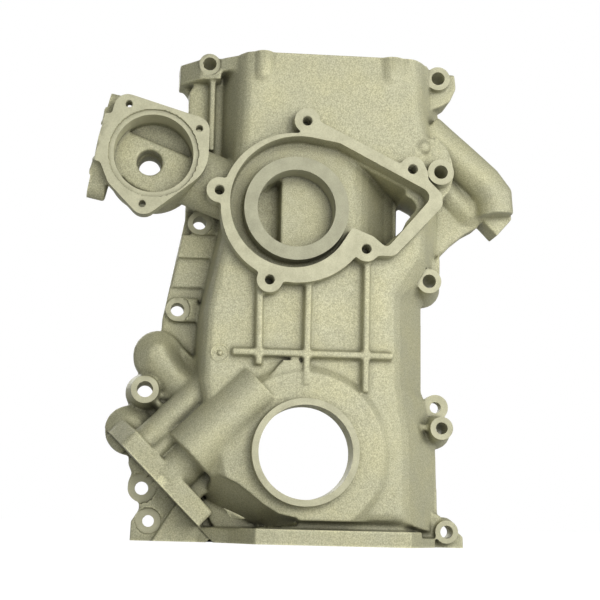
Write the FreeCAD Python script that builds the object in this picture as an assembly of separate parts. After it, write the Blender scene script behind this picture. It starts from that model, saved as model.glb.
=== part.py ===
import FreeCAD, Part
import math
import os

# Front timing cover of a four-cylinder in-line engine: one aluminium casting.
# Millimetres. +X is to the right seen from the front, +Z is up, the front faces -Y.
# The origin is the crank axis at the plane where the cover meets the block.
# "depth" is how far a plane stands forward of that joint plane, so y = -depth.

# Levels of the casting
FLANGE_T = 9.0            # joint flange against the block
PANEL_DEPTH = 50.0        # flat ribbed panel in front of the chain
WALL = 5.0                # wall of the casting
PANEL_EDGE_R = 7.0        # round between the panel and its side walls
PANEL_EDGE_DROP = 1.8     # of the round's middle flat below the panel
PANEL_EDGE_FLAT = 5.2     # width of that flat
RIB_HEIGHT = 6.0          # ribs over the panel
RIB_TOP_W = 3.6
RIB_FOOT_W = 6.4
TOP_Z = 266.0             # face under the cylinder head
PAN_Z = -58.5             # face over the oil pan
PAN_RAIL_T = 10.0         # rail that the oil pan is bolted to
PAN_RAIL_DEPTH = 55.0
CUT_PAST = 2.0            # how far a cut runs past a face

# Crank oil seal
SEAL_BORE_R = 30.0
SEAL_RING_R = 34.2
SEAL_FACE = 66.0
SEAL_HOUSING_R = 57.0     # low round housing behind the ring
SEAL_HOUSING_RISE = 5.0   # over the panel

# Water pump; places are measured from its axis
PUMP_X, PUMP_Z = -8.1, 158.3
PUMP_FACE = 62.0
PUMP_FLANGE_R = 49.5
PUMP_RING_DROP = 2.0      # the ring round the impeller stands this far below the face
PUMP_RING_R = 34.2
PUMP_INLET_R = 25.5
VOLUTE_FLOOR = 46.5
VOLUTE_START_R = 37.4     # inner edge of the volute just after the tongue
VOLUTE_GROWTH = 10.6      # how much that radius grows round to the end
VOLUTE_FROM, VOLUTE_TO = -38.0, 76.0    # degrees round the pump, at the tongue and at the end
VOLUTE_STEPS = 8          # an even number: each arc takes two
INLET_FLOOR = 42.0
INLET_WELL_EDGE = -8.5    # side of the deep well
PUMP_BOSS_R = 8.4
PUMP_SCREWS = [(5.7, 58.1), (-50.6, 9.5), (-16.8, -48.1), (45.7, -25.6), (75.6, 28.7)]
PUMP_SIDE_BOLT = (95.1, 28.6)           # bolt that passes through the cover beside the flange
PUMP_SIDE_BOLT_DROP = 4.0
DELIVERY_FLANGE = [(0, 31.7, 0), (12.6, 58.5, 0), (66.1, 32.5, 0), (84.6, 29.7, 0), (86.1, 21.7, 0),
                   (95.1, 12.7, 6), (95.6, 4.7, 6), (64.1, -29.8, 8), (52.1, -29.8, 0), (34.1, -17.3, 0)]
DELIVERY_CORNER = [(27.3, 44.0, 0), (90.1, 12.2, 6), (59.1, -24.8, 3.5), (50.1, -17.3, 8), (36.4, -11.9, 0)]
# Water way from the volute to the block, which leans to the right on its way back
DELIVERY_PORT, DELIVERY_LEAN = [(68.5, 17.6, 2), (78.3, 12.6, 5), (82.4, 7.3, 5), (68.4, -10.5, 1)], 8.0

# Screw and bolt sizes
M8_TAP_R = 3.4
M8_CLEAR_R = 4.6
M6_TAP_R = 2.5
M8_TAP_DEPTH = 14.0
M6_TAP_DEPTH = 20.0
HOLE_FLATS = 12           # small holes beside the pump's screw holes are drawn with flats

# Thermostat housing; places are measured from its axis
STAT_X, STAT_Z = -101.9, 190.4
STAT_FACE = 62.0
STAT_FLANGE_T = 11.0
STAT_BORE_R = 25.8
STAT_SEAT_R = 28.6        # recess for the thermostat's rim
STAT_SEAT_DEPTH = 1.5
STAT_CUP_R = 31.0
STAT_CUP_BACK = 20.0
STAT_DEEP_FLOOR = 37.0
STAT_STEP_FLOOR = 44.0
STAT_STEP = [(-28.1, 23.4), (31.9, 0.4)]         # line between the two floors of the cup
STAT_DRAIN = (-2.4, -1.5)
STAT_DRAIN_R, STAT_DRAIN_BACK_R = 8.5, 7.2
STAT_DRAIN_STEP = 33.0    # where it narrows
STAT_SCREWS = [(-16.9, 31.9), (29.1, 17.4), (-6.3, -33.9)]
STAT_OUTLINE = [(-24.1, 40.6, 9), (35.9, 23.1, 9), (35.4, -10.4, 24), (-6.1, -43.9, 9), (-28.6, -20.7, 0),
                (-34.2, -7.1, 0), (-38, -6.6, 0), (-32.2, 24.8, 0), (-27.7, 25, 0)]

# Hose flange on the side of the thermostat housing
SIDE_TILT = 11.5          # degrees that it leans from the vertical
SIDE_X, SIDE_Z = -35.8, 9.1
SIDE_DEPTH = 42.0
SIDE_T = 11.5
SIDE_R = 20.0
SIDE_PORT_R = 14.5
SIDE_PORT_DEPTH = 8.0
SIDE_EAR_OFFSET = 27.5
SIDE_EAR_R = 8.5
SIDE_EAR_HOLE_R = 3.4

# Water way from the thermostat to the pump, outside size
DUCT_HALF_HEIGHT = 20.0
DUCT_HALF_DEPTH = 13.5
DUCT_DEPTH = 33.5
DUCT_WALL = 4.5
DUCT_FROM, DUCT_FROM_INSIDE = (3.9, 1.1), (27.1, -7.6)    # from the thermostat's axis
DUCT_TO = (-13.9, 4.7)                                    # from the pump's axis

# Inclined housing of the oil pump drive; "along" runs up its axis, "across" square to it
DRIVE_ANGLE = 45.0        # of its axis over the horizontal
DRIVE_OFFSET = -49.5      # of its axis from the crank
DRIVE_R = 18.5
DRIVE_DEPTH = 41.0
DRIVE_LOW, DRIVE_HIGH = -53.0, 11.0
DRIVE_NECK_R = 15.0
DRIVE_NECK_DEPTH = 26.0
DRIVE_SHAFT_R = 9.0
DRIVE_SHAFT_DEPTH = 30.0
DRIVE_STRUT_R = 4.5
DRIVE_STRUT_OFFSET = -16.0              # from the housing's axis
PUMP_PLATE_OUT = -80.0    # oil pump face, along the drive axis
PUMP_PLATE_T = 13.0
PUMP_PLATE_LOW, PUMP_PLATE_HIGH = -97.0, -12.0
PUMP_PLATE_FRONT = 40.0
PUMP_PLATE_END, PUMP_PLATE_SLOPE = 20.0, 13.0    # front at its upper end, and how far it slopes from there
RIDGE_R = 10.0            # ridge beside the housing
RIDGE_OFFSET = -26.0
RIDGE_DEPTH = 28.0
RIDGE_TOP = -13.0
DRIVE_BASE_T = 24.0       # casting behind the housing and the ridge
DRIVE_BASE_LOW, DRIVE_BASE_HIGH = -83.5, -24.0

# Outlines go round counter-clockwise from the top left, as (x, z, ...)
# Chain case at the joint plane, and the panel at its front with corners in the same order
CASE = [(-60, TOP_Z), (-60, 205), (-56, 158), (-58, 146), (-69, 92), (-71, 46), (-64, -2), (-38, -36),
        (-16, -49), (95, -49), (95, 14), (85, 46), (84.5, 104), (97, 128), (97, 216), (95, 240), (97, TOP_Z)]
PANEL = [(-43, TOP_Z), (-45, 205), (-51, 158), (-54, 142), (-64.5, 92), (-66.5, 46), (-56, 0), (-33, -32),
         (-14, -43), (66, -43), (65, 14), (60, 46), (59, 104), (76, 132), (80, 208), (74, 236), (73, TOP_Z)]
# Flange against the block, with corner radii
JOINT_OUTLINE = [(-86, TOP_Z, 0), (-86, 256, 8), (-79, 247, 0), (-79, 160, 0), (-92.5, 90, 0), (-94, 50, 0),
                 (-112, 30, 0), (-112, -8, 0), (-109.5, -14, 0), (-112.5, -22, 6), (-104, -33, 0),
                 (-104, -38, 0), (-109, -46, 0), (-109.5, PAN_Z, 0), (115, PAN_Z, 0), (114.5, -51, 0),
                 (97, -36.8, 0), (95, 12, 0), (85, 30, 0), (84.5, 108, 0), (97, 122, 6), (97, 236, 0),
                 (95, 243, 0), (101, 247, 0), (105, 256, 0), (104, TOP_Z, 0)]
# Rail over the oil pan and the short wall above it, as (x, depth)
PAN_RAIL = [(-65, 0), (-65, 14), (-46, 30), (-30, PAN_RAIL_DEPTH), (70, PAN_RAIL_DEPTH), (80, 40), (80, 0)]
PAN_RAIL_END, PAN_RAIL_END_T = [(70, 0), (70, PAN_RAIL_DEPTH), (93, 20), (93, 0)], 6.0
PAN_SKIRT = [(-26, 0), (-26, 42), (66, 42), (90, 4), (90, 0)]
# Rail under the cylinder head, left of the panel, and the ear at its end
HEAD_RAIL, HEAD_RAIL_T = [(-58, 0), (-58, 34), (-43, 43), (-30, 43), (-30, 0)], 9.0
HEAD_EAR, HEAD_EAR_T = [(-86, 0), (-85.5, 17), (-72, 31), (-58, 34), (-58, 0)], 14.0

# Details of the panel
RIBS = [(-30.6, 108, -30.2, 56), (1.2, 116, 0.6, 44), (39.3, 128, 39.1, 40), (-47.4, 64, 57, 64)]
PAD = [(-22.7, 49.4, 0), (-14.5, 59.4, 0), (-3.5, 59.7, 0), (-3.3, 48.1, 0), (-11.5, 40.1, 0)]
PAD_HEIGHT = 4.0
HEAD_BOLTS = [(-30.7, 249.0, 47.0, 6.7), (56.0, 250.5, 43.5, 9.2)]    # swellings: x, low end, depth, radius
HEAD_BOLT_TAP = 17.0
HEAD_TIP_SHARE = 0.33     # of a swelling's radius left at its blunt lower tip

# Left edge
LOBE_TOP, LOBE_LOW, LOBE_R, LOBE_DEPTH = (-94.5, 64.5), (-76.0, 46.0), 16.7, 13.0
LOBE_TOP_R = 6.0
EAR_X, EAR_Z, EAR_R, EAR_FRONT, EAR_TOP_R = -112.0, 14.5, 16.5, 18.0, 9.0
STRIP = [(-78, 160, 0), (-92, 90, 0), (-60, 90, 0), (-50, 160, 0)]
STRIP_STEPS = [(132.0, 148.0, 14.5), (112.0, 132.0, 11.5)]    # low z, high z, front
STRIP_PAD_W = 14.0
SHOULDER = [(-79, 246, 0), (-79, 165, 0), (-52, 162, 0), (-52, 258, 0), (-72, 258, 0)]
SHOULDER_T = 20.0
# Webs: x, z, x, z, front
LEFT_WEBS = [(-63.4, 203, -63.4, 258, 30), (-102, 39, -86, 25, 26)]
RIGHT_WEBS = [(70, 21, 94, 20.5, 27)]

# Right edge: water way that bends down to the block, a second one beside it, and the webs behind them
OUTLET_WAY = [(84, 225), (124.5, 190), (131.5, 180.5), (132.5, 167)]
OUTLET_R, OUTLET_DEPTH = 12.2, 24.0
OUTLET_FOOT = [(121, 178, 0), (126, 163.5, 0), (134.8, 154.3, 0), (145, 166, 0), (144.5, 180, 0)]
OUTLET_FOOT_T = 20.0
SECOND_FROM, SECOND_TO, SECOND_R, SECOND_DEPTH = (94, 192), (115.5, 171.5), 11.0, 12.0
SECOND_TOP_R = 5.0
OUTLET_WEB = [(92, 232, 0), (92, 139, 0), (98, 141, 0), (104, 147.5, 0), (113.5, 155.5, 0), (121.5, 160, 0),
              (130, 170, 0), (130, 186, 0), (104, 214, 0)]
OUTLET_WEB_T = 17.0
# Flat gussets: outline and front
GUSSETS = [([(84, 126, 0), (84, 112, 0), (91, 117, 0), (94, 124, 0), (94, 140, 0)], 26),
           ([(72, 214, 0), (72, 170, 0), (90, 171, 0), (96, 178, 0), (98.5, 188.5, 0), (97, 198.6, 0),
             (93.5, 207, 0), (87.3, 213.3, 0)], 47),
           ([(86, -32, 0), (86, -52, 0), (104, -52, 0), (108, -46, 0), (97, -37, 0)], 14),
           ([(88, 240, 0), (95, 243, 0), (101, 247, 0), (105, 256, 0), (104, TOP_Z, 0), (88, TOP_Z, 0)], 24),
           ([(-94, 36, 0), (-70, 30, 0), (-60, 40, 0), (-64, 56, 0), (-80, 48, 0)], 22),
           ([(-96.5, PAN_Z, 0), (-78, -32.3, 0), (-62, -32.3, 0), (-62, PAN_Z, 0)], 14)]

# Bolt places of the joint flange: (x, z, boss radius, boss front, hole radius)
STRIP_BOLTS = [(-69.3, 155.7, 8.0, 17.0, M8_CLEAR_R), (-82.5, 96.3, 8.0, 14.0, M8_CLEAR_R)]
POST_BOLTS = [(-66.0, 262.4, 7.2, 32.0, M8_CLEAR_R), (91.0, 260.5, 7.8, 30.0, M8_CLEAR_R),
              (85.1, 118.5, 7.2, 33.0, M8_CLEAR_R), (94.1, 20.0, 6.9, 33.0, 4.0),
              (-102.5, 40.2, 8.3, 30.0, 5.3), (101.2, -48.0, 7.0, 18.0, 4.3)]
EAR_BOLTS = [(95.0, 35.8, 8.8, FLANGE_T, 3.8), (-102.7, -23.9, 9.2, FLANGE_T, 4.5),
             (-97.6, -45.5, 8.0, FLANGE_T, 3.9)]


def at(x, z, depth):
    return FreeCAD.Vector(x, -depth, z)


def outline_wire(corners, depth):
    """Closed outline at one depth, each corner rounded by its own radius."""
    starts, arcs = [], []
    count = len(corners)
    for index, (x, z, radius) in enumerate(corners):
        here = at(x, z, depth)
        if radius <= 0:
            starts.append((here, here))
            arcs.append(None)
            continue
        before = at(*corners[index - 1][:2], depth) - here
        after = at(*corners[(index + 1) % count][:2], depth) - here
        before.normalize()
        after.normalize()
        half = before.getAngle(after) / 2
        reach = radius / math.tan(half)
        middle = before + after
        middle.normalize()
        crown = here + middle * (radius / math.sin(half) - radius)
        starts.append((here + before * reach, here + after * reach))
        arcs.append(crown)
    edges = []
    for index in range(count):
        first, last = starts[index]
        if arcs[index] is not None:
            edges.append(Part.Arc(first, arcs[index], last).toShape())
        following = starts[(index + 1) % count][0]
        edges.append(Part.LineSegment(last, following).toShape())
    return Part.Wire(edges)


def slab(corners, back, front):
    """Flat plate of one outline between two depths."""
    face = Part.Face(outline_wire(corners, back))
    return face.extrude(FreeCAD.Vector(0, back - front, 0))


def inset(corners, wall, top):
    """Outline moved inwards by the wall on every side, and by top on its last side."""
    count = len(corners)
    sides = []
    for index in range(count):
        first = at(*corners[index], 0)
        run = at(*corners[(index + 1) % count], 0) - first
        run.normalize()
        distance = top if index == count - 1 else wall
        sides.append((first + FreeCAD.Vector(-run.z, 0, run.x) * distance, run))
    moved = []
    for index in range(count):
        (base, run), (other, cross) = sides[index - 1], sides[index]
        gap = other - base
        reach = (gap.x * cross.z - gap.z * cross.x) / (run.x * cross.z - run.z * cross.x)
        moved.append((base.x + run.x * reach, base.z + run.z * reach))
    return moved


def stacked(levels):
    """Body through several outlines, given as (outline, depth), with straight walls between them."""
    rings = [[at(x, z, depth) for x, z in outline] for outline, depth in levels]
    sides = [rings[0][::-1], rings[-1]]
    for behind, ahead in zip(rings, rings[1:]):
        for index in range(len(behind)):
            sides.append([behind[index - 1], behind[index], ahead[index]])
            sides.append([behind[index - 1], ahead[index], ahead[index - 1]])
    shell = Part.makeShell([Part.Face(Part.makePolygon(side + side[:1])) for side in sides])
    shell.sewShape()
    return Part.makeSolid(shell).removeSplitter()


def between(first, second, share):
    """Outline part of the way from one outline to another."""
    return [(x + (u - x) * share, z + (w - z) * share) for (x, z), (u, w) in zip(first, second)]


def post(x, z, radius, back, front, front_radius=None):
    """Round boss or hole along the depth, straight or tapered."""
    if front_radius is None:
        return Part.makeCylinder(radius, front - back, at(x, z, back), FreeCAD.Vector(0, -1, 0))
    return Part.makeCone(radius, front_radius, front - back, at(x, z, back), FreeCAD.Vector(0, -1, 0))


def prism(radius, foot, run):
    """Small hole with flats, straight along one run."""
    turn = FreeCAD.Rotation(FreeCAD.Vector(0, 0, 1), run)
    reach = radius / math.cos(math.pi / HOLE_FLATS)
    corners = []
    for flat in range(HOLE_FLATS + 1):
        angle = 2 * math.pi * flat / HOLE_FLATS
        spoke = FreeCAD.Vector(math.cos(angle), math.sin(angle), 0) * reach
        corners.append(foot + turn.multVec(spoke))
    return Part.Face(Part.makePolygon(corners)).extrude(run)


def tapped(x, z, radius, face, length):
    """Hole for a screw, from a face backwards."""
    return prism(radius, at(x, z, face + CUT_PAST), FreeCAD.Vector(0, length + CUT_PAST, 0))


def box(x0, x1, z0, z1, back, front):
    return Part.makeBox(x1 - x0, front - back, z1 - z0, FreeCAD.Vector(x0, -front, z0))


def fused(shapes):
    return shapes[0].multiFuse(shapes[1:]) if len(shapes) > 1 else shapes[0]


def from_pump(places):
    return [(PUMP_X + place[0], PUMP_Z + place[1], *place[2:]) for place in places]


def from_stat(places):
    return [(STAT_X + place[0], STAT_Z + place[1], *place[2:]) for place in places]


def rib(x0, z0, x1, z1, back, front):
    """Straight rib with drafted flanks and a flat top."""
    run = FreeCAD.Vector(x1 - x0, 0, z1 - z0)
    side = FreeCAD.Vector(-run.z, 0, run.x)
    side.normalize()
    section = [at(x0, z0, back) + side * (RIB_FOOT_W / 2), at(x0, z0, front) + side * (RIB_TOP_W / 2),
               at(x0, z0, front) - side * (RIB_TOP_W / 2), at(x0, z0, back) - side * (RIB_FOOT_W / 2)]
    return Part.Face(Part.makePolygon(section + section[:1])).extrude(run)


def drive_point(along, across, depth):
    """A point in the drive housing's own directions: along its axis, across it, and forward."""
    angle = math.radians(DRIVE_ANGLE)
    return at(along * math.cos(angle) + across * math.sin(angle),
              along * math.sin(angle) - across * math.cos(angle), depth)


def drive_plan(along, across):
    point = drive_point(along, across, 0)
    return point.x, point.z, 0


def drive_cylinder(radius, low, high, across, depth):
    direction = drive_point(1, 0, 0)
    return Part.makeCylinder(radius, high - low, drive_point(low, across, depth), direction)


def bar(first, last, radius):
    """Round bar from one point to another."""
    run = last - first
    return Part.makeCylinder(radius, run.Length, first, run)


def bent_bar(places, radius, depth):
    """Round bar along several straight lines, mitred where they meet."""
    path = [at(x, z, depth) for x, z in places]
    section = Part.Wire(Part.makeCircle(radius, path[0], path[1] - path[0]))
    mitred = 1
    return Part.makePolygon(path).makePipeShell([section], True, False, mitred)


def dome(x, z, radius, back, front, top_radius):
    """Boss with a blunt conical front as deep as its radius shrinks."""
    shoulder = front - (radius - top_radius)
    return post(x, z, radius, back, shoulder).fuse(post(x, z, radius, shoulder, front, top_radius))


def deck(plan, z0, z1):
    """Level plate from its plan, given as (x, depth) points."""
    points = [at(x, z0, depth) for x, depth in plan]
    return Part.Face(Part.makePolygon(points + points[:1])).extrude(FreeCAD.Vector(0, 0, z1 - z0))


def duct(start, end, half_height, half_depth, depth):
    """Water way with a section taller than it is deep, straight between two places."""
    run = FreeCAD.Vector(end[0] - start[0], 0, end[1] - start[1])
    up = FreeCAD.Vector(-run.z, 0, run.x)
    up.normalize()
    centre = at(start[0], start[1], depth)
    front = FreeCAD.Vector(0, -half_depth, 0)
    straight = up * (half_height - half_depth)
    rise = up * half_height
    edges = [Part.LineSegment(centre - straight + front, centre + straight + front).toShape(),
             Part.Arc(centre + straight + front, centre + rise, centre + straight - front).toShape(),
             Part.LineSegment(centre + straight - front, centre - straight - front).toShape(),
             Part.Arc(centre - straight - front, centre - rise, centre - straight + front).toShape()]
    return Part.Face(Part.Wire(edges)).extrude(run)


def chain_case():
    """Walls round the chain, which lean in from the flange, with the front edges rounded in flats."""
    edge_depth = PANEL_DEPTH - PANEL_EDGE_R
    wall_top = between(CASE, PANEL, (edge_depth - FLANGE_T) / (PANEL_DEPTH - FLANGE_T))
    middle = inset(between(CASE, PANEL, 1 - PANEL_EDGE_DROP / PANEL_DEPTH), PANEL_EDGE_DROP, 0)
    return stacked([(CASE, 0), (CASE, FLANGE_T), (wall_top, edge_depth),
                    (middle, PANEL_DEPTH - PANEL_EDGE_DROP), (inset(PANEL, PANEL_EDGE_FLAT, 0), PANEL_DEPTH)])


def chain_space():
    """Hollow behind the panel, open towards the block and the cylinder head."""
    ceiling = inset(PANEL, WALL, -CUT_PAST)
    return stacked([(inset(CASE, WALL, -CUT_PAST), -0.01), (ceiling, PANEL_DEPTH - WALL)])


def case_floor():
    """Height of the panel's lower edge."""
    return min(z for _, z in PANEL)


def pan_rail():
    """Rail over the oil pan and the short wall that joins it to the chain case."""
    rail = deck(PAN_RAIL, PAN_Z, PAN_Z + PAN_RAIL_T)
    return rail.fuse([deck(PAN_RAIL_END, PAN_Z, PAN_Z + PAN_RAIL_END_T),
                      deck(PAN_SKIRT, PAN_Z + PAN_RAIL_T / 2, case_floor() + WALL / 2)])


def pan_opening():
    """Way down to the oil pan, one wall inside the short wall."""
    left, front, right = PAN_SKIRT[0][0] + WALL, PAN_SKIRT[1][1] - WALL, PAN_SKIRT[2][0] - WALL
    far, side = PAN_SKIRT[3][0] - WALL, PAN_SKIRT[3][1] - WALL / 2
    return deck([(left, -CUT_PAST), (left, front), (right, front), (far, side), (far, -CUT_PAST)],
                PAN_Z - CUT_PAST, case_floor() + WALL)


def head_rail():
    """Rail under the cylinder head and the ear at its left end."""
    return [deck(HEAD_RAIL, TOP_Z - HEAD_RAIL_T, TOP_Z), deck(HEAD_EAR, TOP_Z - HEAD_EAR_T, TOP_Z)]


def seal_housing():
    """Low round housing of the crank oil seal and the ring that holds the seal."""
    top = PANEL_DEPTH + SEAL_HOUSING_RISE
    housing = post(0, 0, SEAL_HOUSING_R + WALL, PANEL_DEPTH - WALL, top, SEAL_HOUSING_R - SEAL_HOUSING_RISE)
    below = box(-2 * SEAL_HOUSING_R, 2 * SEAL_HOUSING_R, 2 * PAN_Z, case_floor(), 0, SEAL_FACE)
    return housing.cut(below).fuse(post(0, 0, SEAL_RING_R, PANEL_DEPTH, SEAL_FACE))


def pump_flange():
    """Flange of the pump: a disc, the corner over the delivery, and the screw bosses."""
    back = VOLUTE_FLOOR - WALL
    shapes = [post(PUMP_X, PUMP_Z, PUMP_FLANGE_R, back, PUMP_FACE)]
    shapes.append(slab(from_pump(DELIVERY_FLANGE), back, PUMP_FACE))
    shapes += [post(x, z, PUMP_BOSS_R, PANEL_DEPTH - 1, PUMP_FACE) for x, z in from_pump(PUMP_SCREWS)]
    x, z = from_pump([PUMP_SIDE_BOLT])[0]
    shapes.append(post(x, z, PUMP_BOSS_R, 0, PUMP_FACE - PUMP_SIDE_BOLT_DROP))
    return fused(shapes)


def volute_channel():
    """Channel round the pump that widens clockwise from its tongue to the delivery corner."""
    points = []
    for step in range(VOLUTE_STEPS + 1):
        turned = step / VOLUTE_STEPS
        radius = VOLUTE_START_R + VOLUTE_GROWTH * turned
        angle = math.radians(VOLUTE_FROM - (VOLUTE_FROM + 360 - VOLUTE_TO) * turned)
        points.append(at(PUMP_X + radius * math.cos(angle), PUMP_Z + radius * math.sin(angle), VOLUTE_FLOOR))
    spiral = [Part.Arc(*points[first:first + 3]).toShape() for first in range(0, VOLUTE_STEPS, 2)]
    corner = outline_wire([(points[-1].x, points[-1].z, 0)] + from_pump(DELIVERY_CORNER)
                          + [(points[0].x, points[0].z, 0)], VOLUTE_FLOOR)
    edges = sorted(corner.Edges, key=lambda edge: (edge.CenterOfMass - (points[0] + points[-1]) / 2).Length)
    channel = Part.Face(Part.Wire(spiral + Part.__sortEdges__(edges[1:])))
    return channel.extrude(FreeCAD.Vector(0, VOLUTE_FLOOR - PUMP_FACE - CUT_PAST, 0))


def water_way(start, half_height, half_depth):
    """The way from the thermostat to the pump."""
    return duct(from_stat([start])[0], from_pump([DUCT_TO])[0], half_height, half_depth, DUCT_DEPTH)


def delivery_way(front, back, wall):
    """The way from the volute to the block, or its outside when a wall is given."""
    lean = DELIVERY_LEAN / VOLUTE_FLOOR
    shift = (VOLUTE_FLOOR - front) * lean
    outline = [(x + shift, z, radius) for x, z, radius in from_pump(DELIVERY_PORT)]
    wire = outline_wire(outline, front)
    if wall:
        wire = wire.makeOffset2D(wall)
    return Part.Face(wire).extrude(FreeCAD.Vector((front - back) * lean, front - back, 0))


def left_of_pump(edge):
    """Everything further left than one place beside the pump's axis."""
    return box(PUMP_X - 2 * PUMP_FLANGE_R, PUMP_X + edge, 0, TOP_Z, 0, PUMP_FACE)


def water_walls():
    """Walls of the water ways behind the panel."""
    return [post(PUMP_X, PUMP_Z, PUMP_INLET_R + WALL, DUCT_DEPTH - DUCT_HALF_DEPTH, PANEL_DEPTH),
            water_way(DUCT_FROM, DUCT_HALF_HEIGHT, DUCT_HALF_DEPTH),
            delivery_way(VOLUTE_FLOOR, 0, WALL)]


def pump_waterways():
    """Everything that is cut out for the pump, apart from its screw holes."""
    ring_face = PUMP_FACE - PUMP_RING_DROP
    channel = volute_channel().cut(post(PUMP_X, PUMP_Z, PUMP_RING_R, 0, PUMP_FACE + CUT_PAST))
    step = post(PUMP_X, PUMP_Z, PUMP_RING_R, ring_face, PUMP_FACE + CUT_PAST)
    inlet = post(PUMP_X, PUMP_Z, PUMP_INLET_R, INLET_FLOOR, PUMP_FACE)
    well = post(PUMP_X, PUMP_Z, PUMP_INLET_R, DUCT_DEPTH - DUCT_HALF_DEPTH + DUCT_WALL, PUMP_FACE)
    passage = water_way(DUCT_FROM_INSIDE, DUCT_HALF_HEIGHT - DUCT_WALL, DUCT_HALF_DEPTH - DUCT_WALL)
    return [channel, step, inlet, well.common(left_of_pump(INLET_WELL_EDGE)), passage,
            delivery_way(VOLUTE_FLOOR + CUT_PAST, -CUT_PAST, 0)]


def side_flange():
    """Hose flange on the left of the thermostat housing, and its holes."""
    centre = at(*from_stat([(SIDE_X, SIDE_Z)])[0], SIDE_DEPTH)
    lean = math.radians(SIDE_TILT)
    inward = FreeCAD.Vector(math.cos(lean), 0, -math.sin(lean))
    along = FreeCAD.Vector(math.sin(lean), 0, math.cos(lean))
    outside = centre - inward * CUT_PAST
    shapes = [Part.makeCylinder(SIDE_R, SIDE_T, centre, inward)]
    holes = [Part.makeCylinder(SIDE_PORT_R, SIDE_PORT_DEPTH + CUT_PAST, outside, inward)]
    front = FreeCAD.Vector(0, -1, 0)
    for way in (-1, 1):
        step = along * (way * SIDE_EAR_OFFSET)
        ear = centre + step
        web = [centre + front * SIDE_R, ear + front * SIDE_EAR_R, ear - front * SIDE_EAR_R,
               centre - front * SIDE_R]
        shapes.append(Part.makeCylinder(SIDE_EAR_R, SIDE_T, ear, inward))
        shapes.append(Part.Face(Part.makePolygon(web + web[:1])).extrude(inward * SIDE_T))
        holes.append(prism(SIDE_EAR_HOLE_R, outside + step, inward * (SIDE_T + 2 * CUT_PAST)))
    return shapes, holes


def thermostat_body():
    """Cup of the thermostat housing and its flange."""
    flange_back = STAT_FACE - STAT_FLANGE_T
    cup = post(STAT_X, STAT_Z, STAT_CUP_R, STAT_CUP_BACK, flange_back)
    return [slab(from_stat(STAT_OUTLINE), flange_back, STAT_FACE), cup]


def thermostat_cuts():
    """Bore of the thermostat with its seat, its two floors, and the drain between them."""
    bore = post(STAT_X, STAT_Z, STAT_BORE_R, STAT_STEP_FLOOR, STAT_FACE + CUT_PAST)
    seat = post(STAT_X, STAT_Z, STAT_SEAT_R, STAT_FACE - STAT_SEAT_DEPTH, STAT_FACE + CUT_PAST)
    deep = post(STAT_X, STAT_Z, STAT_BORE_R, STAT_DEEP_FLOOR, STAT_FACE)
    low, high = from_stat(STAT_STEP)
    above = STAT_Z + 2 * STAT_BORE_R
    upper = slab([(*low, 0), (*high, 0), (high[0], above, 0), (low[0], above, 0)], 0, STAT_FACE)
    drain_x, drain_z = from_stat([STAT_DRAIN])[0]
    drain = post(drain_x, drain_z, STAT_DRAIN_R, STAT_DRAIN_STEP, STAT_FACE)
    drain_back = post(drain_x, drain_z, STAT_DRAIN_BACK_R, STAT_CUP_BACK - CUT_PAST, STAT_FACE)
    screws = [tapped(x, z, M6_TAP_R, STAT_FACE, M6_TAP_DEPTH) for x, z in from_stat(STAT_SCREWS)]
    return [bore, seat, deep.common(upper), drain, drain_back] + screws


def oil_pump_drive():
    """Inclined drive housing, the ridge beside it and the plate that the oil pump is bolted to."""
    plate_in = PUMP_PLATE_OUT + PUMP_PLATE_T
    middle = (PUMP_PLATE_OUT + plate_in) / 2
    slope_end = PUMP_PLATE_LOW + PUMP_PLATE_SLOPE
    outline = [(PUMP_PLATE_LOW, 0), (PUMP_PLATE_LOW, PUMP_PLATE_END), (slope_end, PUMP_PLATE_FRONT),
               (PUMP_PLATE_HIGH, PUMP_PLATE_FRONT), (PUMP_PLATE_HIGH, 0)]
    points = [drive_point(PUMP_PLATE_OUT, across, depth) for across, depth in outline]
    plate = Part.Face(Part.makePolygon(points + points[:1])).extrude(drive_point(PUMP_PLATE_T, 0, 0))
    housing = drive_cylinder(DRIVE_R, DRIVE_LOW, DRIVE_HIGH, DRIVE_OFFSET, DRIVE_DEPTH)
    neck = drive_cylinder(DRIVE_NECK_R, middle, DRIVE_LOW + 1, DRIVE_OFFSET, DRIVE_NECK_DEPTH)
    strut = drive_cylinder(DRIVE_STRUT_R, middle, DRIVE_LOW + 1, DRIVE_OFFSET + DRIVE_STRUT_OFFSET,
                           PUMP_PLATE_FRONT - DRIVE_STRUT_R)
    beside = DRIVE_OFFSET + RIDGE_OFFSET
    ridge_foot = drive_point(middle, beside, RIDGE_DEPTH)
    side_ridge = bar(ridge_foot, drive_point(RIDGE_TOP, beside, RIDGE_DEPTH), RIDGE_R)
    base = slab([drive_plan(middle, DRIVE_BASE_LOW), drive_plan(middle, DRIVE_BASE_HIGH),
                 drive_plan(RIDGE_TOP, DRIVE_BASE_HIGH), drive_plan(RIDGE_TOP, DRIVE_BASE_LOW)],
                0, DRIVE_BASE_T)
    return [plate, housing, neck, strut, side_ridge, base]


def forward(shape):
    """What lies forward of the joint plane."""
    return shape.common(box(-TOP_Z, TOP_Z, -TOP_Z, 2 * TOP_Z, 0, 2 * PUMP_FACE))


def lobe(low, high, radius, depth, top_radius):
    """Round ridge that ends in a blunt round lobe."""
    crest = bar(at(*low, depth), at(*high, depth), radius)
    return forward(crest).fuse(dome(*high, radius, 0, depth + radius, top_radius))


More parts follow.
